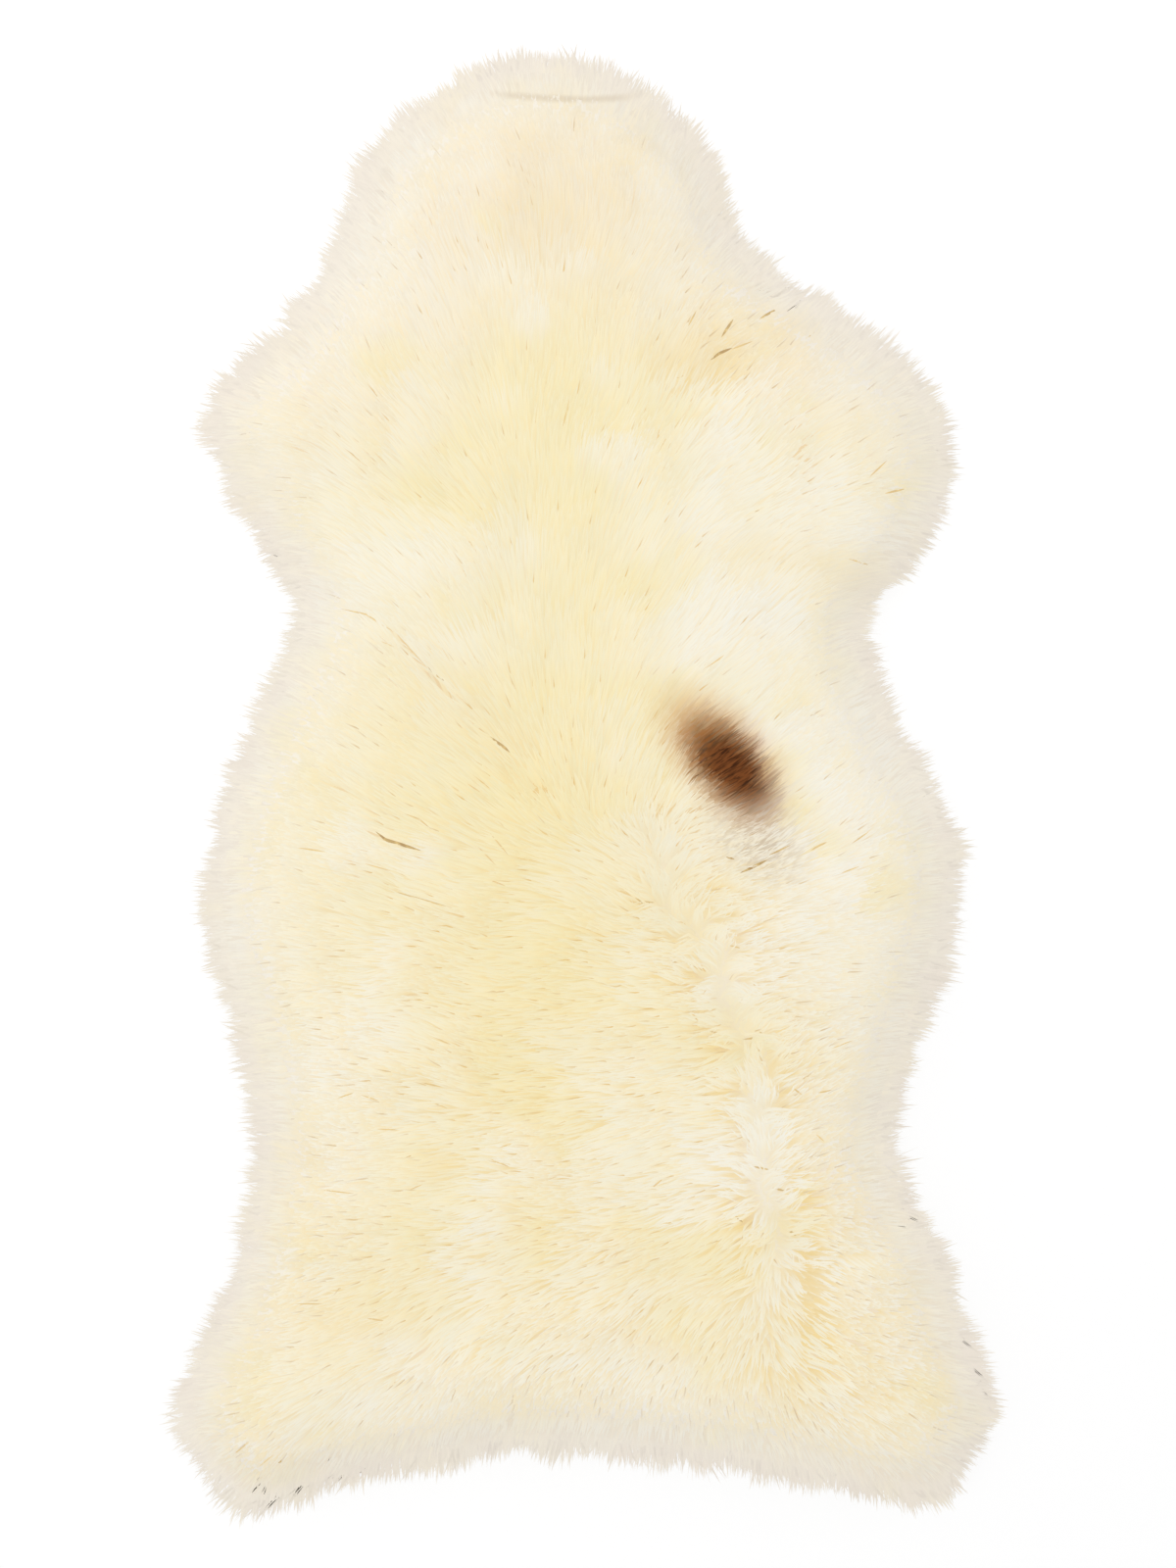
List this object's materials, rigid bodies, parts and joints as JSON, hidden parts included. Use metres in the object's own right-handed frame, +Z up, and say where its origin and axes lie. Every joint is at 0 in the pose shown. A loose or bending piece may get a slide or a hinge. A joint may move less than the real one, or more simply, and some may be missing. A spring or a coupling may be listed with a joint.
{
  "type": "sheepskin rug",
  "caption": "Natural sheepskin laid flat with its wool up: a lumpy cream fleece on a flat hide, with the outline of neck, forelegs, belly and hind legs and pointed locks all round its rim.",
  "frame": {"origin": "under the middle of the rug's box, on the surface that the rug lies on", "axes": "+X to the skin's right side, +Y from the rump to the neck, +Z up out of the wool"},
  "size_m": [0.5926, 1.067, 0.0522],
  "materials": {
    "wool": "long soft natural sheep's wool, cream with yellow and ochre areas and one dark brown patch",
    "hide": "tanned skin side, undyed suede with a fine nap"
  },
  "bodies": {
    "root": {"sheepskin": "wool"}
  },
  "joints": []
}
